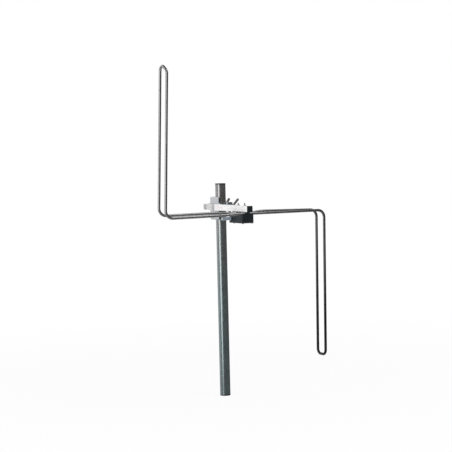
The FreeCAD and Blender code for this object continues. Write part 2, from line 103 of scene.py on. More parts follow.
# Steps of a bolt's domed head and of a label's corner, and sides of the round floor.
DOME_STEPS = 12
CORNER_STEPS = 4
FLOOR_SIDES = 96
# Edges sharper than this stay sharp on turned pieces.
SHARP_ANGLE = math.radians(32)
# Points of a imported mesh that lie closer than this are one.
WELD_DISTANCE = 1e-6
# The label's bars as shares of its height and length: low, high, start and end.
LABEL_BARS = (
    (0.62, 0.74, 0.40, 0.94),
    (0.40, 0.50, 0.30, 0.94),
    (0.20, 0.29, 0.52, 0.94),
)
# The shares of the floor's radius between which it fades into plain white.
FLOOR_FADE = (0.12, 0.50)
# Where the mirrored room changes, on scales from 0 (far left, straight down) to 1 (near right, straight up).
ROOM_WHITE_TO_DARK = (0.10, 0.30)
ROOM_FLOOR_TO_WALL = (0.20, 0.36)
ROOM_LOW_TO_LEVEL = (0.41, 0.50)


def colour(label, description, default):
    """A colour property."""
    return FloatVectorProperty(name=label, description=description, default=default,
                               subtype="COLOR", size=3, min=0.0, max=1.0)


def length(label, description, default):
    """A length property, in metres."""
    return FloatProperty(name=label, description=description, default=default, unit="LENGTH", precision=5)


def lengths(label, description, default):
    """A property of two or three lengths, in metres."""
    return FloatVectorProperty(name=label, description=description, default=default,
                               size=len(default), unit="LENGTH")


def angle(label, description, degrees):
    """An angle property, given in degrees."""
    return FloatProperty(name=label, description=description, default=math.radians(degrees),
                         subtype="ANGLE")


def share(label, description, default):
    """A property from none to full, such as a brightness."""
    return FloatProperty(name=label, description=description, default=default,
                         subtype="FACTOR", min=0.0, max=1.0)


def power(label, description, default):
    """A lamp's power, in watts."""
    return FloatProperty(name=label, description=description, default=default, unit="POWER", min=0.0)


class AntennaFinishes(bpy.types.PropertyGroup):
    """Colours of the antenna's finishes"""
    mast: colour("Mast", "Galvanised steel of the mast tube", (0.265, 0.330, 0.340))
    mast_light: colour("Mast spangle", "Paler crystals of the galvanised coat", (0.385, 0.460, 0.470))
    # Painted shade: near-black colour of the tube's inner wall; near the ends the outside is also darkened
    # towards it.
    mast_inside_shade: colour("Mast inside", "Dull inner wall of the mast tube", (0.030, 0.031, 0.032))
    rod: colour("Rods", "Drawn metal of the loop", (0.33, 0.33, 0.335))
    # Painted shade: the colour that the loop darkens to towards its hanging end, to the right and downwards.
    rod_painted_shade: colour("Rod film", "Dark film that grows towards the hanging end", (0.045, 0.046, 0.047))
    boom: colour("Boom", "Mill finish of the square boom", (0.93, 0.93, 0.93))
    # Darker, warmer colour of the boom from its front clamp bolt to its rear end.
    boom_dull: colour("Boom's dull end", "Oxide on the boom's clamped end", (0.64, 0.635, 0.62))
    plate: colour("Clamp", "Zinc plate of the clamp pieces", (0.58, 0.63, 0.70))
    plate_warm: colour("Clamp tint", "Warmer patches of the zinc plate", (0.68, 0.66, 0.58))
    plastic: colour("Plastic", "Black moulded pieces", (0.007, 0.011, 0.014))
    bolt: colour("Clamp bolts", "Dull zinc of the coach bolts", (0.56, 0.56, 0.58))
    nut: colour("Wing nuts", "Dark cast wing nuts", (0.17, 0.174, 0.18))
    screw: colour("Screws", "Bright small fasteners", (0.72, 0.72, 0.70))
    nickel: colour("Socket", "Nickel of the coaxial socket", (0.40, 0.48, 0.55))
    label: colour("Label", "Paper of the bare label", (0.93, 0.92, 0.93))
    label_bar: colour("Label bars", "Pale bars on the label", (0.72, 0.58, 0.63))
    gasket: colour("Gasket", "Rubber under the box's lid", (0.03, 0.03, 0.032))
    board: colour("Board", "Laminate of the transformer's board", (0.25, 0.18, 0.08))
    ferrite: colour("Core", "Ferrite of the transformer's core", (0.07, 0.07, 0.075))
    copper: colour("Winding", "Enamelled wire of the transformer", (0.62, 0.28, 0.12))
    brass: colour("Tags", "Brass of the terminal tags", (0.72, 0.56, 0.26))
    insulator: colour("Insulator", "White insulator in the socket", (0.82, 0.82, 0.80))


class AntennaDetails(bpy.types.PropertyGroup):
    """Sizes of the details that are added to the solids"""
    bolt_radius: length("Bolt radius", "Radius of the clamp bolts", 0.0040)
    bolt_pitch: length("Bolt pitch", "Thread pitch of the clamp bolts", 0.00125)
    bolt_depth: length("Bolt thread depth", "Thread depth of the clamp bolts", 0.00060)
    bolt_thread: length("Bolt thread length", "Threaded end of the clamp bolts", 0.046)
    bolt_neck: length("Bolt neck", "Width of the square neck under the clamp bolts' heads", 0.0082)
    box_head: length("Box bolt head", "Head height of the box bolts", 0.0026)
    box_radius: length("Box bolt radius", "Radius of the box bolts", 0.0020)
    box_pitch: length("Box bolt pitch", "Thread pitch of the box bolts", 0.0007)
    box_depth: length("Box bolt thread depth", "Thread depth of the box bolts", 0.00032)
    box_below: length("Box bolt thread start", "Reach of the box bolts' thread below their nuts", 0.0020)
    lid_head: length("Lid screw head", "Head diameter of the lid screws", 0.0056)
    lid_head_height: length("Lid screw head height", "Head height of the lid screws", 0.0018)
    lid_radius: length("Lid screw radius", "Thread radius of the lid screws", 0.00125)
    lid_pitch: length("Lid screw pitch", "Thread pitch of the lid screws", 0.0011)
    lid_depth: length("Lid screw thread depth", "Thread depth of the lid screws", 0.00030)
    socket_pitch: length("Socket pitch", "Thread pitch of the coaxial socket", 0.0008)
    socket_depth: length("Socket thread depth", "Thread depth of the coaxial socket", 0.00040)
    socket_collar: length("Socket collar", "Plain stretch between the socket's hexagon and thread", 0.0015)
    socket_sunk: length("Socket overlap", "Reach of the socket's barrel into its hexagon", 0.0005)
    socket_cup: length("Socket cup", "Depth of the hollow in the socket's end", 0.0040)
    cast_voxel: length("Cast softness", "Voxel size that rounds the cast wing nuts", 0.00040)
    cast_passes: IntProperty(name="Cast passes", description="Rounds of smoothing on the wing nuts",
                             default=5, min=0)
    label_length: length("Label length", "Length of the label along the boom", 0.086)
    label_height: length("Label height", "Height of the label", 0.0154)
    label_corner: length("Label corner", "Corner radius of the label", 0.0015)
    label_thickness: length("Label thickness", "Thickness of the label", 0.00018)
    label_gap: length("Label gap", "Space between the label and the front bolt's head", 0.0015)
    segments: IntProperty(name="Segments", description="Sides of turned pieces", default=40, min=12)


class AntennaStage(bpy.types.PropertyGroup):
    """Camera, lamps and background"""
    azimuth: angle("Azimuth", "Camera's turn round the mast", -28.2)
    elevation: angle("Elevation", "Camera's height above the level", 3.17)
    roll: angle("Roll", "Camera's roll", -1.39)
    distance: length("Distance", "Camera's distance from its target", 4.110)
    target: lengths("Target", "Point that the camera looks at", (-0.0906, -0.200, 0.5388))
    focal_pixels: FloatProperty(name="Focal length", description="Focal length in pixels of the frame",
                                default=1400.0, subtype="PIXEL")
    key_power: power("Key", "Power of the lamp on the left", 19.5)
    key_size: lengths("Key size", "Width and height of the lamp on the left", (1.5, 2.6))
    key_turn: angle("Key turn", "Turn of the left lamp from the camera's direction", 44.0)
    key_distance: length("Key distance", "Level distance of the left lamp from the target", 2.0)
    key_rise: length("Key rise", "Height of the left lamp above the target", 0.3)
    top_power: power("Top", "Power of the lamp overhead", 17.0)
    top_size: lengths("Top size", "Width and length of the lamp overhead", (1.3, 2.2))
    top_place: lengths("Top place", "Place of the lamp overhead from the target", (0.75, -0.8, 2.0))
    ambient: share("Ambient", "Even light from all round", 0.66)
    floor: colour("Floor", "Matt paint of the floor", (0.9, 0.9, 0.9))
    floor_radius: length("Floor radius", "Radius of the round floor", 4.0)
    floor_glow: share("Floor glow", "Share of plain white in the floor by the mast", 0.88)
    room_turn: angle("Room turn", "Turn of the mirrored room's dark side from the camera to the right", 50.0)
    room: share("Room", "Brightness of the mirrored room's dark side", 0.07)
    room_floor: share("Room's floor", "Brightness of the mirrored room's floor", 0.38)
    room_low: share("Low room", "Share of the mirrored white that is left below the level", 0.35)


class Thread(NamedTuple):
    """A stretch of thread on a shank, in metres."""
    start: float
    end: float
    pitch: float
    depth: float


NO_THREAD = Thread(start=0.0, end=0.0, pitch=1.0, depth=0.0)


class Signal:
    """One output of a shader node, which takes part in Python arithmetic."""

    def __init__(self, shade, socket):
        self.shade = shade
        self.socket = socket

    def maths(self, operation, first, second):
        """A Math node on two values."""
        return self.shade.node("ShaderNodeMath", {"operation": operation}, {0: first, 1: second})

    def __add__(self, other):
        return self.maths("ADD", self, other)

    __radd__ = __add__

    def __sub__(self, other):
        return self.maths("SUBTRACT", self, other)

    def __rsub__(self, other):
        return self.maths("SUBTRACT", other, self)

    def __mul__(self, other):
        return self.maths("MULTIPLY", self, other)

    __rmul__ = __mul__

    # Python takes each of these two for the other's reflected form.
    def __gt__(self, other):
        return self.maths("GREATER_THAN", self, other)

    def __lt__(self, other):
        return self.maths("LESS_THAN", self, other)

    def __abs__(self):
        return self.maths("ABSOLUTE", self, 0.0)

    def clamped(self):
        """The value, held between 0 and 1."""
        return self.shade.node("ShaderNodeClamp", {}, {"Value": self})


class Shade:
    """Builds one node tree from expressions."""

    def __init__(self, tree):
        self.tree = tree
        tree.nodes.clear()

    def node(self, kind, settings, inputs, output=0):
        """Adds a node: its settings first, then the values or links of its sockets."""
        made = self.tree.nodes.new(kind)
        for key, value in settings.items():
            if key == "stops":
                self.set_stops(made.color_ramp, value)
            else:
                setattr(made, key, value)
        for key, value in inputs.items():
            if isinstance(value, Signal):
                self.tree.links.new(value.socket, made.inputs[key])
            else:
                made.inputs[key].default_value = value
        return Signal(self, made.outputs[output]) if made.outputs else None

    @staticmethod
    def set_stops(ramp, stops):
        """Sets the two stops of a ramp: a place and a brightness each."""
        for element, (position, brightness) in zip(ramp.elements, stops):
            element.position = position
            element.color = (brightness, brightness, brightness, 1.0)

    def place(self, stretch=NO_STRETCH):
        """Object coordinates, stretched."""
        coords = self.node("ShaderNodeTexCoord", {}, {}, "Object")
        return self.node("ShaderNodeMapping", {}, {"Vector": coords, "Scale": stretch})

    def coordinate(self, vector, axis):
        """One coordinate of a vector."""
        return self.node("ShaderNodeSeparateXYZ", {}, {"Vector": vector}, axis)

    def reach(self, vector):
        """Length of a vector."""
        return self.node("ShaderNodeVectorMath", {"operation": "LENGTH"}, {0: vector}, "Value")

    def ray(self, kind):
        """One for rays of a kind, and none for the others."""
        return self.node("ShaderNodeLightPath", {}, {}, "Is " + kind + " Ray")

    def noise(self, scale, stretch=NO_STRETCH, detail=3.0):
        """Soft patches, of a size that goes down as the scale goes up."""
        inputs = {
            "Vector": self.place(stretch),
            "Scale": scale,
            "Detail": detail,
            "Roughness": NOISE_ROUGHNESS,
        }
        return self.node("ShaderNodeTexNoise", {}, inputs)

    def crystals(self, scale, stretch=NO_STRETCH):
        """Cells with a random brightness each."""
        inputs = {"Vector": self.place(stretch), "Scale": scale}
        cells = self.node("ShaderNodeTexVoronoi", {}, inputs, "Color")
        return self.node("ShaderNodeSeparateColor", {}, {"Color": cells})

    def ramp(self, value, start, end):
        """Brightness between two stops, and level outside them."""
        return self.node("ShaderNodeValToRGB", {"stops": (start, end)}, {"Fac": value})

    def mix(self, factor, first, second):
        """Blend of two colours."""
        inputs = {MIX_FACTOR: factor, MIX_FIRST: first, MIX_SECOND: second}
        return self.node("ShaderNodeMix", {"data_type": "RGBA"}, inputs, MIX_RESULT)

    def bump(self, height, distance, edge):
        """Normal with a fine relief and rounded edges, both in metres."""
        soft = self.node("ShaderNodeBevel", {}, {"Radius": edge})
        return self.node("ShaderNodeBump", {}, {"Distance": distance, "Height": height, "Normal": soft})

    def surface(self, inputs):
        """Ends the tree in a surface."""
        shader = self.node("ShaderNodeBsdfPrincipled", {}, inputs)
        self.node("ShaderNodeOutputMaterial", {}, {"Surface": shader})


def mid(node):
    """Middle of a node's box."""
    low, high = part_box(node)
    return (low + high) / 2


def mount_size(name, key):
    """One of a mount's sizes in the record, in metres."""
    mount = next(entry for entry in frame["record"]["mounts"] if entry["name"] == name)
    return mount["dims"][key] / 1000


def new_shade(name):
    """A material with an empty tree, and the builder of that tree."""
    material = bpy.data.materials.new(name)
    material.use_nodes = True
    return material, Shade(material.node_tree)


def rgba(value):
    """A colour as a socket takes it."""
    return (value[0], value[1], value[2], 1.0)


def toned(value, factor):
    """A colour made lighter or darker."""
    return rgba([channel * factor for channel in value])


def grey(value):
    """A colour's grey, with no tint."""
    return rgba([sum(value) / 3] * 3)


def galvanised_steel(finishes):
    """Spangled zinc, neutral at the tube's top and tinted by age further down, darker near the cut ends,
    with painted shade on the inner wall.
    """
    material, shade = new_shade("galvanised_steel")
    spangle = shade.crystals(scale=150.0, stretch=(1.0, 1.0, 0.45))
    cloud = shade.noise(scale=26.0, stretch=(1.0, 1.0, 0.35), detail=4.0)
    streak = shade.noise(scale=160.0, stretch=(1.0, 1.0, 0.03), detail=2.0)
    pale = (spangle * 0.45 + cloud * 0.75 + streak * 0.35 - 0.42).clamped()
    aged = shade.mix(pale, rgba(finishes.mast), rgba(finishes.mast_light))
    clean = shade.mix(pale, grey(finishes.mast), grey(finishes.mast_light))
    height = shade.coordinate(shade.place(), "Z")
    clean_from = 0.62
    age_per_metre = 3.0
    outside = shade.mix(((clean_from - height) * age_per_metre).clamped(), clean, aged)
    # Painted shade: the inner wall takes a near-black colour and less metal.
    wall_margin = 0.0003
    inside = shade.reach(shade.place((1.0, 1.0, 0.0))) < mount_size("mast_foot", "r_mm") + wall_margin
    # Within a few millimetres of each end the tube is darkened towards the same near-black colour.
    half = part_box("mast_tube")[1].z / 2
    from_end = half - abs(height - half)
    cut_depth = 0.003
    cut_raggedness = 0.003
    cut_per_metre = 400.0
    cut = ((cut_depth - from_end + cloud * cut_raggedness) * cut_per_metre).clamped()
    shade.surface({
        "Base Color": shade.mix((inside + cut * 0.8).clamped(), outside, rgba(finishes.mast_inside_shade)),
        "Metallic": 0.9 - inside * 0.7,
        "Roughness": 0.18 + spangle * 0.06 + cloud * 0.06,
        "Normal": shade.bump(spangle * 0.3 + streak * 0.7, distance=0.00001, edge=0.0003),
    })
    return material


def drawn_rod(finishes):
    """Drawn metal with dull patches and fine marks, and painted shade that darkens it to the right and
    downwards.
    """
    material, shade = new_shade("drawn_rod")
    patch = shade.noise(scale=18.0, detail=4.0)
    mark = shade.noise(scale=900.0, detail=2.0)
    bright = shade.mix(patch * 0.8 + mark * 0.2, rgba(finishes.rod), toned(finishes.rod, 1.3))
    place = shade.place()
    # Painted shade, darker further right and further down, where the loop gets less light; the noise only
    # frays its edge.
    right_and_down = shade.coordinate(place, "X") - shade.coordinate(place, "Z")
    painted_shade_from = -0.63
    painted_shade_per_metre = 1.6
    painted_shade = ((right_and_down - painted_shade_from) * painted_shade_per_metre + (patch - 0.5) * 0.25).clamped()
    shade.surface({
        "Base Color": shade.mix(painted_shade, bright, rgba(finishes.rod_painted_shade)),
        "Metallic": 1.0,
        "Roughness": 0.24 + patch * 0.10 + mark * 0.05,
        "Normal": shade.bump(mark, distance=0.000006, edge=0.0002),
    })
    return material


def extruded_boom(finishes):
    """Mill finish with die lines along the boom, darker and warmer from the front clamp bolt to the rear
    end.
    """
    material, shade = new_shade("extruded_boom")
    lines = shade.noise(scale=1400.0, stretch=(1.0, 0.004, 1.0), detail=2.0)
    cloud = shade.noise(scale=30.0, stretch=(1.0, 0.5, 1.0))
    fresh = shade.mix(lines * 0.5 + cloud * 0.5, rgba(finishes.boom), toned(finishes.boom, 0.94))
    # The boom turns darker and warmer from the front clamp bolt to its rear end, with a ragged edge.
    along = shade.coordinate(shade.place(), "Y")
    dull_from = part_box("clamp_bolt_front")[0].y
    dull_raggedness = 0.006
    dull_per_metre = 180.0
    dull = ((along - dull_from + cloud * dull_raggedness) * dull_per_metre).clamped()
    shade.surface({
        "Base Color": shade.mix(dull, fresh, rgba(finishes.boom_dull)),
        "Metallic": 0.06,
        "Roughness": 0.34 + lines * 0.16,
        "Normal": shade.bump(lines, distance=0.00003, edge=0.0004),
    })
    return material


def zinc_plate(finishes):
    """Bright zinc with bluish and straw-coloured patches."""
    material, shade = new_shade("zinc_plate")
    tint = shade.ramp(shade.noise(scale=60.0), (0.40, 0.0), (0.68, 1.0))
    grain = shade.noise(scale=1100.0, stretch=(1.0, 1.0, 0.15), detail=2.0)
    shade.surface({
        "Base Color": shade.mix(tint, rgba(finishes.plate), rgba(finishes.plate_warm)),
        "Metallic": 0.95,
        "Roughness": 0.24 + grain * 0.14,
        "Normal": shade.bump(grain, distance=0.00003, edge=0.0004),
    })
    return material


def dark_casting(finishes):
    """Black-passivated casting, a little worn."""
    material, shade = new_shade("dark_casting")
    grit = shade.noise(scale=1300.0)
    wear = shade.ramp(shade.noise(scale=240.0, detail=4.0), (0.56, 0.0), (0.72, 1.0))
    shade.surface({
        "Base Color": shade.mix(wear * 0.55, rgba(finishes.nut), toned(finishes.nut, 2.2)),
        "Metallic": 0.4,
        "Roughness": 0.42 + grit * 0.14,
        "Normal": shade.bump(grit, distance=0.00008, edge=0.0003),
    })
    return material


def black_plastic(finishes):
    """Moulded black plastic with a fine grain and a slight bloom."""
    material, shade = new_shade("black_plastic")
    grain = shade.noise(scale=2600.0, detail=2.0)
    bloom = shade.noise(scale=45.0)
    shade.surface({
        "Base Color": shade.mix(bloom * 0.8, rgba(finishes.plastic), toned(finishes.plastic, 2.2)),
        "Roughness": 0.36 + bloom * 0.14 + grain * 0.06,
        "Specular IOR Level": 0.36,
        "Normal": shade.bump(grain, distance=0.00004, edge=0.0006),
    })
    return material


def plated_metal(name, base, roughness, metallic):
    """Plated metal for small turned pieces."""
    material, shade = new_shade(name)
    cloud = shade.noise(scale=220.0)
    shade.surface({
        "Base Color": shade.mix(cloud, rgba(base), toned(base, 0.78)),
        "Metallic": metallic,
        "Roughness": roughness + cloud * 0.12,
        "Normal": shade.bump(cloud, distance=0.00002, edge=0.0002),
    })
    return material


def plain_stuff(name, base, roughness, metallic):
    """Small inner pieces: mottled colour and a fine grain."""
    material, shade = new_shade(name)
    mottle = shade.noise(scale=400.0)
    shade.surface({
        "Base Color": shade.mix(mottle, rgba(base), toned(base, 0.7)),
        "Metallic": metallic,
        "Roughness": roughness + mottle * 0.15,
        "Normal": shade.bump(mottle, distance=0.00003, edge=0.0002),
    })
    return material


def label_paper(finishes):
    """White label with a few plain bars and faint grey patches."""
    material, shade = new_shade("label_paper")
    spot = shade.node("ShaderNodeTexCoord", {}, {}, "Generated")
    along = shade.coordinate(spot, "Y")
    high = shade.coordinate(spot, "Z")
    bars = []
    for low, top, start, end in LABEL_BARS:
        bars.append((high > low) * (high < top) * (along > start) * (along < end))
    fibre = shade.noise(scale=1500.0)
    patch = shade.noise(scale=70.0) * 0.5
    paper = shade.mix(patch, rgba(finishes.label), toned(finishes.label, 0.93))
    inked = sum(bars[1:], bars[0]) * (0.50 + fibre * 0.4)
    shade.surface({
        "Base Color": shade.mix(inked, paper, rgba(finishes.label_bar)),
        "Roughness": 0.42 + fibre * 0.12,
        "Normal": shade.bump(fibre, distance=0.00001, edge=0.0001),
    })
    return material


def dress(nodes, material):
    """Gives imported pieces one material."""
    for name in nodes:
        mesh = frame["nodes"][name].data
        mesh.materials.clear()
        mesh.materials.append(material)


def add_piece(name, shape, material, body, replaced=()):
    """Makes an object of a finished mesh and hangs it on its body."""
    bmesh.ops.recalc_face_normals(shape, faces=shape.faces)
    mesh = bpy.data.meshes.new(name)
    shape.to_mesh(mesh)
    shape.free()
    mesh.materials.append(material)
    piece = bpy.data.objects.new(name, mesh)
    bpy.context.scene.collection.objects.link(piece)
    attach(piece, body)
    if replaced:
        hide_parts(*replaced)
    return piece


def add_smooth_piece(name, shape, material, replaced):
    """Makes a turned piece on the fixed body, smooth but for its sharp edges."""
    piece = add_piece(name, shape, material, "antenna", [replaced])
    piece.data.shade_smooth()
    piece.data.set_sharp_from_angle(angle=SHARP_ANGLE)


def axis_frame(origin, axis, side):
    """Local frame at a point, with X along an axis and Y to a side."""
    return Matrix.Translation(origin) @ Matrix((axis, side, axis.cross(side))).transposed().to_4x4()


def thread_cut(along, turn, thread):
    """Depth of a thread below its crest at a place on the shank."""
    if not thread.start < along < thread.end:
        return 0.0
    phase = abs((along / thread.pitch - turn / (2 * math.pi)) % 1.0 - 0.5) * 2
    run_out = min(1.0, (along - thread.start) / thread.pitch)
    return thread.depth * run_out * min(1.0, max(0.0, (phase - THREAD_CREST) / THREAD_FLANK))


def thread_stations(thread, end, radius):
    """Evenly spaced rings along a thread, up to an end."""
    reach = end - thread.start
    steps = int(reach / thread.pitch * RINGS_PER_PITCH)
    return [(thread.start + reach * step / steps, radius) for step in range(steps + 1)]


def dome_stations(radius, height):
    """Rings of a round head, from its top to its rim."""
    ball = (radius * radius + height * height) / (2 * height)
    sweep = math.asin(radius / ball)
    turns = [sweep * step / DOME_STEPS for step in range(1, DOME_STEPS + 1)]
    return [(ball * (1 - math.cos(turn)), ball * math.sin(turn)) for turn in turns]


def add_turned(shape, place, stations, segments, thread=NO_THREAD, open_end=False):
    """Joins rings of points about an axis, closes their ends and gives the last ring."""
    rings = []
    for along, radius in stations:
        ring = []
        for step in range(segments):
            turn = 2 * math.pi * step / segments
            reach = radius - thread_cut(along, turn, thread)
            point = Vector((along, reach * math.cos(turn), reach * math.sin(turn)))
            ring.append(shape.verts.new(place @ point))
        rings.append(ring)
    for low, high in zip(rings, rings[1:]):
        for step in range(segments):
            after = (step + 1) % segments
            shape.faces.new((low[step], low[after], high[after], high[step]))
    shape.faces.new(rings[0])
    if not open_end:
        shape.faces.new(rings[-1])
    return rings[-1]


def add_hexagon(shape, place, across, height):
    """Hexagon with chamfered corners along the local X."""
    reach = across / math.sqrt(3)
    chamfer = height * HEXAGON_CHAMFER
    stations = [(0.0, reach), (height - chamfer, reach), (height, reach * HEXAGON_TOP)]
    add_turned(shape, place, stations, segments=6)


def add_cross(shape, place, rim, along, reach, half, depth):
    """Flat end inside a rim, with a cross recess that narrows towards its floor."""
    corners = []
    for turn in range(4):
        for across, up in ((reach, -half), (reach, half), (half, half)):
            corners.append(Matrix.Rotation(math.radians(90 * turn), 2) @ Vector((across, up)))
    top = []
    floor = []
    for corner in corners:
        narrow = corner * CROSS_TAPER
        top.append(shape.verts.new(place @ Vector((along, corner.x, corner.y))))
        floor.append(shape.verts.new(place @ Vector((along - depth, narrow.x, narrow.y))))
    edges = []
    for loop in (rim, top):
        for first, second in zip(loop, loop[1:] + loop[:1]):
            edges.append(shape.edges.get((first, second)) or shape.edges.new((first, second)))
    bmesh.ops.triangle_fill(shape, use_beauty=True, edges=edges)
    for step in range(len(top)):
        after = (step + 1) % len(top)
        shape.faces.new((top[step], top[after], floor[after], floor[step]))
    shape.faces.new(floor)


class ANTENNA_OT_mast(bpy.types.Operator):
    """Galvanised finish of the mast tube"""
    bl_idname = "antenna.mast"
    bl_label = "Mast tube"

    def execute(self, context):
        dress(["mast_tube"], galvanised_steel(context.scene.antenna_finishes))
        return {"FINISHED"}


class ANTENNA_OT_rods(bpy.types.Operator):
    """Drawn finish of the bent rod"""
    bl_idname = "antenna.rods"
    bl_label = "Rod loop"

    def execute(self, context):
        dress(["dipole_rod"], drawn_rod(context.scene.antenna_finishes))
        return {"FINISHED"}


class ANTENNA_OT_boom(bpy.types.Operator):
    """Mill finish of the boom, and its bare label"""
    bl_idname = "antenna.boom"
    bl_label = "Boom and label"

    def execute(self, context):
        finishes = context.scene.antenna_finishes
        details = context.scene.antenna_details
        dress(["boom_tube"], extruded_boom(finishes))
        shape = bmesh.new()
        face = shape.faces.new([shape.verts.new(point) for point in self.label_outline(details)])
        raised = bmesh.ops.extrude_face_region(shape, geom=[face])
        lifted = [item for item in raised["geom"] if isinstance(item, bmesh.types.BMVert)]
        bmesh.ops.translate(shape, verts=lifted, vec=(-details.label_thickness, 0.0, 0.0))
        add_piece("boom_label", shape, label_paper(finishes), "antenna")
        return {"FINISHED"}

    @staticmethod
    def label_outline(details):
        """Corner arcs of the label on the boom's left face, in front of the front bolt's head."""
        low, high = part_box("boom_tube")
        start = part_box("clamp_bolt_front")[0].y - details.label_gap
        middle = Vector((low.x, start - details.label_length / 2, (low.z + high.z) / 2))
        radius = details.label_corner
        half_along = details.label_length / 2 - radius
        half_high = details.label_height / 2 - radius
        points = []
        for corner, (side, rise) in enumerate(((1, 1), (-1, 1), (-1, -1), (1, -1))):
            for step in range(CORNER_STEPS + 1):
                turn = math.radians(90 * corner + 90 / CORNER_STEPS * step)
                along = side * half_along + radius * math.cos(turn)
                up = rise * half_high + radius * math.sin(turn)
                points.append(middle + Vector((0.0, along, up)))
        return points


class ANTENNA_OT_box(bpy.types.Operator):
    """Black mouldings, and the small pieces in the connection box"""
    bl_idname = "antenna.box"
    bl_label = "Box and plugs"

    def execute(self, context):
        finishes = context.scene.antenna_finishes
        mouldings = ["box_body", "box_lid", "rod_saddle", "boom_front_plug", "boom_rear_plug"]
        dress(mouldings, black_plastic(finishes))
        dress(["box_gasket"], plain_stuff("gasket_rubber", finishes.gasket, roughness=0.6, metallic=0.0))
        dress(["balun_board"], plain_stuff("board_laminate", finishes.board, roughness=0.45, metallic=0.0))
        dress(["balun_core"], plain_stuff("ferrite", finishes.ferrite, roughness=0.5, metallic=0.3))
        dress(["balun_winding"], plain_stuff("copper_wire", finishes.copper, roughness=0.25, metallic=1.0))
        dress(["terminal_tags"], plain_stuff("brass_tag", finishes.brass, roughness=0.28, metallic=1.0))
        white = plain_stuff("white_insulator", finishes.insulator, roughness=0.4, metallic=0.0)
        dress(["coax_insulator"], white)
        return {"FINISHED"}


class ANTENNA_OT_socket(bpy.types.Operator):
    """Threaded coaxial socket on the left face of the box"""
    bl_idname = "antenna.socket"
    bl_label = "Coaxial socket"

    def execute(self, context):
        details = context.scene.antenna_details
        nickel = plated_metal("nickel", context.scene.antenna_finishes.nickel, roughness=0.36, metallic=0.5)
        dress(["coax_nut"], nickel)
        low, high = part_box("coax_socket")
        insulator_low, insulator_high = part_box("coax_insulator")
        bore = (insulator_high.y - insulator_low.y) / 2
        radius = mount_size("coax_thread", "r_mm")
        barrel = mount_size("coax_thread", "length_mm")
        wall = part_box("box_body")[0].x
        hexagon = wall - barrel - low.x
        shape = bmesh.new()
        add_hexagon(shape, self.leftwards(wall), high.y - low.y, hexagon)
        chamfer = SOCKET_CHAMFER * details.socket_depth
        thread = Thread(details.socket_collar, barrel, details.socket_pitch, details.socket_depth)
        stations = [(-details.socket_sunk, radius), (0.0, radius)]
        stations += thread_stations(thread, barrel - chamfer, radius)
        stations += [(barrel, radius - chamfer), (barrel, bore), (barrel - details.socket_cup, bore)]
        add_turned(shape, self.leftwards(wall - hexagon), stations, details.segments, thread)
        shank = radius * SHANK_SHARE
        add_turned(shape, self.leftwards(high.x), [(0.0, shank), (high.x - wall, shank)], details.segments)
        add_smooth_piece("coax_socket_threaded", shape, nickel, "coax_socket")
        return {"FINISHED"}

    @staticmethod
    def leftwards(x):
        """Frame on the socket's axis that points to the left."""
        middle = mid("coax_socket")
        return axis_frame(Vector((x, middle.y, middle.z)), -X_AXIS, Z_AXIS)


class ANTENNA_OT_small_screws(bpy.types.Operator):
    """Box bolts with threads, lid screws with cross recesses, nuts, terminals and rivets"""
    bl_idname = "antenna.small_screws"
    bl_label = "Small screws"

    def execute(self, context):
        details = context.scene.antenna_details
        screw = context.scene.antenna_finishes.screw
        bright = plated_metal("bright_screw", screw, roughness=0.24, metallic=1.0)
        dress(["box_nuts", "terminal_screws", "terminal_nuts", "saddle_rivets"], bright)
        self.add_box_bolts(details, bright)
        self.add_lid_screws(details, bright)
        return {"FINISHED"}

    @staticmethod
    def add_box_bolts(details, bright):
        """Hexagon bolts that stand up through the box, the boom and their nuts."""
        low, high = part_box("box_bolts")
        reach = high.z - low.z
        radius = details.box_radius
        chamfer = BOLT_CHAMFER * details.box_depth
        thread_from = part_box("box_nuts")[0].z - low.z - details.box_below
        thread = Thread(thread_from, reach, details.box_pitch, details.box_depth)
        stations = [(0.0, radius)]
        stations += thread_stations(thread, reach - chamfer, radius)
        stations.append((reach, radius - chamfer))
        half_head = (high.x - low.x) * math.sqrt(3) / 4
        shape = bmesh.new()
        for y in (low.y + half_head, high.y - half_head):
            place = axis_frame(Vector((mid("box_bolts").x, y, low.z)), Z_AXIS, X_AXIS)
            add_hexagon(shape, place, 2 * half_head, details.box_head)
            add_turned(shape, place, stations, details.segments, thread)
        add_smooth_piece("box_bolts_threaded", shape, bright, "box_bolts")

    @staticmethod
    def add_lid_screws(details, bright):
        """Four screws with their heads down, at the corners of the lid."""
        low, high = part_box("lid_screws")
        head_r = details.lid_head / 2
        head_h = details.lid_head_height
        reach = high.z - low.z
        base = reach - head_h
        chamfer = head_h * LID_CHAMFER
        thread = Thread(0.0, base, details.lid_pitch, details.lid_depth)
        stations = thread_stations(thread, base, details.lid_radius)
        stations += [(base, head_r), (reach - chamfer, head_r), (reach, head_r - chamfer)]
        shape = bmesh.new()
        for x in (low.x + head_r, high.x - head_r):
            for y in (low.y + head_r, high.y - head_r):
                place = axis_frame(Vector((x, y, high.z)), -Z_AXIS, X_AXIS)
                rim = add_turned(shape, place, stations, details.segments, thread, open_end=True)
                add_cross(shape, place, rim, reach, reach=head_r * CROSS_REACH,
                          half=head_r * CROSS_HALF, depth=head_h * CROSS_DEPTH)
        add_smooth_piece("lid_screws_crossed", shape, bright, "lid_screws")


class ANTENNA_OT_clamp(bpy.types.Operator):
    """Zinc finish of the toothed clamp and its washers"""
    bl_idname = "antenna.clamp"
    bl_label = "Mast clamp"

    def execute(self, context):
        zinc = zinc_plate(context.scene.antenna_finishes)
        dress(["mast_saddle", "mast_jaw", "clamp_washer_front", "clamp_washer_rear"], zinc)
        return {"FINISHED"}


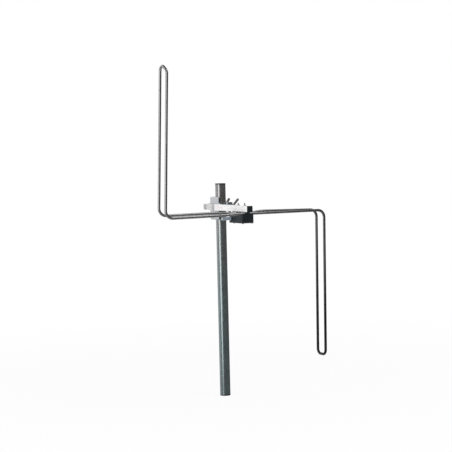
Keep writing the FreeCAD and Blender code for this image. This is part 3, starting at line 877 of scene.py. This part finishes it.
class ANTENNA_OT_clamp_bolts(bpy.types.Operator):
    """Coach bolts with threaded ends"""
    bl_idname = "antenna.clamp_bolts"
    bl_label = "Clamp bolts"

    def execute(self, context):
        details = context.scene.antenna_details
        zinc = plated_metal("dull_zinc", context.scene.antenna_finishes.bolt, roughness=0.42, metallic=0.4)
        for node in ("clamp_bolt_front", "clamp_bolt_rear"):
            self.add_bolt(details, zinc, node)
        return {"FINISHED"}

    @staticmethod
    def add_bolt(details, zinc, node):
        """Round head, square neck and threaded shank, from the boom's left face to the right."""
        low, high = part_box(node)
        middle = mid(node)
        reach = high.x - low.x
        radius = details.bolt_radius
        head_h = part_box("boom_tube")[0].x - low.x
        chamfer = BOLT_CHAMFER * details.bolt_depth
        thread = Thread(reach - details.bolt_thread, reach, details.bolt_pitch, details.bolt_depth)
        stations = dome_stations((high.y - low.y) / 2, head_h)
        stations.append((head_h, radius))
        stations += thread_stations(thread, reach - chamfer, radius)
        stations.append((reach, radius - chamfer))
        shape = bmesh.new()
        place = axis_frame(Vector((low.x, middle.y, middle.z)), X_AXIS, Y_AXIS)
        add_turned(shape, place, stations, details.segments, thread)
        neck = details.bolt_neck / math.sqrt(2)
        neck_end = head_h + details.bolt_neck / 2
        square = place @ Matrix.Rotation(math.radians(45), 4, "X")
        add_turned(shape, square, [(head_h, neck), (neck_end, neck)], segments=4)
        add_smooth_piece(node + "_threaded", shape, zinc, node)


class ANTENNA_OT_wing_nuts(bpy.types.Operator):
    """Wing nuts with the soft corners of a casting"""
    bl_idname = "antenna.wing_nuts"
    bl_label = "Wing nuts"

    def execute(self, context):
        details = context.scene.antenna_details
        dark = dark_casting(context.scene.antenna_finishes)
        for side in ("front", "rear"):
            node = "wing_nut_" + side
            shape = bmesh.new()
            shape.from_mesh(frame["nodes"][node].data)
            bmesh.ops.remove_doubles(shape, verts=shape.verts, dist=WELD_DISTANCE)
            piece = add_piece(node + "_cast", shape, dark, side + "_nut", [node])
            remesh = piece.modifiers.new("soften", "REMESH")
            remesh.mode = "VOXEL"
            remesh.voxel_size = details.cast_voxel
            remesh.use_smooth_shade = True
            rounding = piece.modifiers.new("round", "SMOOTH")
            rounding.iterations = details.cast_passes
        return {"FINISHED"}


class ANTENNA_OT_stage(bpy.types.Operator):
    """Pale floor, white background, soft lamps and the camera"""
    bl_idname = "antenna.stage"
    bl_label = "Stage"

    def execute(self, context):
        stage = context.scene.antenna_stage
        self.add_floor(stage)
        self.add_world(context.scene, stage)
        self.add_lamps(stage)
        self.add_camera(context.scene, stage)
        context.scene.view_settings.view_transform = "Standard"
        return {"FINISHED"}

    @staticmethod
    def axes(stage):
        """Camera's right, up and backward directions, before its roll."""
        turn, rise = stage.azimuth, stage.elevation
        back = Vector((math.sin(turn) * math.cos(rise), -math.cos(turn) * math.cos(rise), math.sin(rise)))
        right = Vector((math.cos(turn), math.sin(turn), 0.0))
        return right, back.cross(right), back

    @staticmethod
    def add_floor(stage):
        """Round floor that takes a faint shadow by the mast and fades into plain white."""
        shape = bmesh.new()
        bmesh.ops.create_circle(shape, cap_ends=True, segments=FLOOR_SIDES, radius=stage.floor_radius)
        mesh = bpy.data.meshes.new("floor")
        shape.to_mesh(mesh)
        shape.free()
        material, shade = new_shade("pale_floor")
        matt = shade.node("ShaderNodeBsdfDiffuse", {}, {"Color": rgba(stage.floor)})
        glow = shade.node("ShaderNodeEmission", {}, {"Color": WHITE, "Strength": 1.0})
        spot = shade.node("ShaderNodeTexCoord", {}, {}, "Object")
        outwards = shade.reach(spot) * (1.0 / stage.floor_radius)
        near, far = FLOOR_FADE
        fade = shade.ramp(outwards, (near, stage.floor_glow), (far, 1.0))
        seen = (shade.ray("Camera") + shade.ray("Glossy") + shade.ray("Transmission")).clamped()
        shader = shade.node("ShaderNodeMixShader", {}, {0: seen * fade, 1: matt, 2: glow})
        shade.node("ShaderNodeOutputMaterial", {}, {"Surface": shader})
        mesh.materials.append(material)
        floor = bpy.data.objects.new("floor", mesh)
        floor.location = (0.0, 0.0, CAD_BOX[0].z)
        floor.visible_glossy = False
        floor.visible_shadow = False
        bpy.context.scene.collection.objects.link(floor)

    def add_world(self, scene, stage):
        """White to the camera, an even light on matt surfaces, and a dim room that metal mirrors."""
        world = bpy.data.worlds.new("studio")
        world.use_nodes = True
        scene.world = world
        shade = Shade(world.node_tree)
        room = self.mirrored_room(shade, stage)
        mirrored = shade.node("ShaderNodeBackground", {}, {"Color": room, "Strength": 1.0})
        white = shade.node("ShaderNodeBackground", {}, {"Color": WHITE, "Strength": 1.0})
        even = shade.node("ShaderNodeBackground", {}, {"Color": WHITE, "Strength": stage.ambient})
        lit = shade.node("ShaderNodeMixShader", {}, {0: shade.ray("Glossy"), 1: even, 2: mirrored})
        seen = (shade.ray("Camera") + shade.ray("Transmission")).clamped()
        final = shade.node("ShaderNodeMixShader", {}, {0: seen, 1: lit, 2: white})
        shade.node("ShaderNodeOutputWorld", {}, {"Surface": final})

    def mirrored_room(self, shade, stage):
        """White on the far left, less so below the level, and dim elsewhere with a paler floor."""
        way = shade.node("ShaderNodeTexCoord", {}, {}, "Generated")
        right, _, back = self.axes(stage)
        dark_side = back * math.cos(stage.room_turn) + right * math.sin(stage.room_turn)
        inputs = {0: way, 1: dark_side}
        depth = shade.node("ShaderNodeVectorMath", {"operation": "DOT_PRODUCT"}, inputs, "Value")
        nearness = depth * 0.5 + 0.5
        height = shade.coordinate(way, "Z") * 0.5 + 0.5
        white_to, dark_from = ROOM_WHITE_TO_DARK
        fall = shade.ramp(nearness, (white_to, 1.0), (dark_from, 0.0))
        low_to, level = ROOM_LOW_TO_LEVEL
        low = shade.ramp(height, (low_to, stage.room_low), (level, 1.0))
        floor_to, wall_from = ROOM_FLOOR_TO_WALL
        dim = shade.ramp(height, (floor_to, stage.room_floor), (wall_from, stage.room))
        return shade.mix(fall * low, dim, WHITE)

    def add_lamps(self, stage):
        """A tall soft lamp on the left and a broad one overhead."""
        target = Vector(stage.target)
        right, _, back = self.axes(stage)
        left = back * math.cos(stage.key_turn) - right * math.sin(stage.key_turn)
        key_place = left * stage.key_distance + Z_AXIS * stage.key_rise
        self.add_lamp("key", stage.key_power, stage.key_size, target + key_place, -left)
        self.add_lamp("top", stage.top_power, stage.top_size, target + Vector(stage.top_place), -Z_AXIS)

    @staticmethod
    def add_lamp(name, watts, size, place, aim):
        """An elliptical lamp at a place, aimed along a direction."""
        lamp = bpy.data.lights.new(name, "AREA")
        lamp.energy = watts
        lamp.shape = "ELLIPSE"
        lamp.size = size[0]
        lamp.size_y = size[1]
        holder = bpy.data.objects.new(name, lamp)
        holder.location = place
        holder.rotation_mode = "QUATERNION"
        holder.rotation_quaternion = aim.to_track_quat("-Z", "Y")
        bpy.context.scene.collection.objects.link(holder)

    def add_camera(self, scene, stage):
        """Camera at the photograph's viewing angle."""
        right, up, back = self.axes(stage)
        rolled_right = right * math.cos(stage.roll) + up * math.sin(stage.roll)
        rolled_up = up * math.cos(stage.roll) - right * math.sin(stage.roll)
        spot = Vector(stage.target) + back * stage.distance
        data = bpy.data.cameras.new("camera")
        data.lens = stage.focal_pixels / FRAME_PIXELS * data.sensor_width
        camera = bpy.data.objects.new("camera", data)
        turned = Matrix((rolled_right, rolled_up, back)).transposed().to_4x4()
        camera.matrix_world = Matrix.Translation(spot) @ turned
        scene.collection.objects.link(camera)
        scene.camera = camera


OPERATORS = (
    ANTENNA_OT_mast,
    ANTENNA_OT_rods,
    ANTENNA_OT_boom,
    ANTENNA_OT_box,
    ANTENNA_OT_socket,
    ANTENNA_OT_small_screws,
    ANTENNA_OT_clamp,
    ANTENNA_OT_clamp_bolts,
    ANTENNA_OT_wing_nuts,
    ANTENNA_OT_stage,
)


class ANTENNA_PT_panel(bpy.types.Panel):
    """Lists the antenna's operators"""
    bl_idname = "ANTENNA_PT_panel"
    bl_label = "FM antenna"
    bl_space_type = "VIEW_3D"
    bl_region_type = "UI"
    bl_category = "Antenna"

    def draw(self, context):
        for operator in OPERATORS:
            self.layout.operator(operator.bl_idname)


SETTINGS = {
    "antenna_finishes": AntennaFinishes,
    "antenna_details": AntennaDetails,
    "antenna_stage": AntennaStage,
}


def register():
    """Adds the settings to the scene, and the operators and the panel."""
    for name, group in SETTINGS.items():
        bpy.utils.register_class(group)
        setattr(bpy.types.Scene, name, PointerProperty(type=group))
    for operator in OPERATORS:
        bpy.utils.register_class(operator)
    bpy.utils.register_class(ANTENNA_PT_panel)


def unregister():
    """Takes away what register adds, in reverse."""
    bpy.utils.unregister_class(ANTENNA_PT_panel)
    for operator in reversed(OPERATORS):
        bpy.utils.unregister_class(operator)
    for name, group in reversed(SETTINGS.items()):
        delattr(bpy.types.Scene, name)
        bpy.utils.unregister_class(group)


def main():
    """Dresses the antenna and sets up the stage."""
    register()
    bpy.ops.antenna.mast()
    bpy.ops.antenna.rods()
    bpy.ops.antenna.boom()
    bpy.ops.antenna.box()
    bpy.ops.antenna.socket()
    bpy.ops.antenna.small_screws()
    bpy.ops.antenna.clamp()
    bpy.ops.antenna.clamp_bolts()
    bpy.ops.antenna.wing_nuts()
    bpy.ops.antenna.stage()


if __name__ == "__main__":
    main()
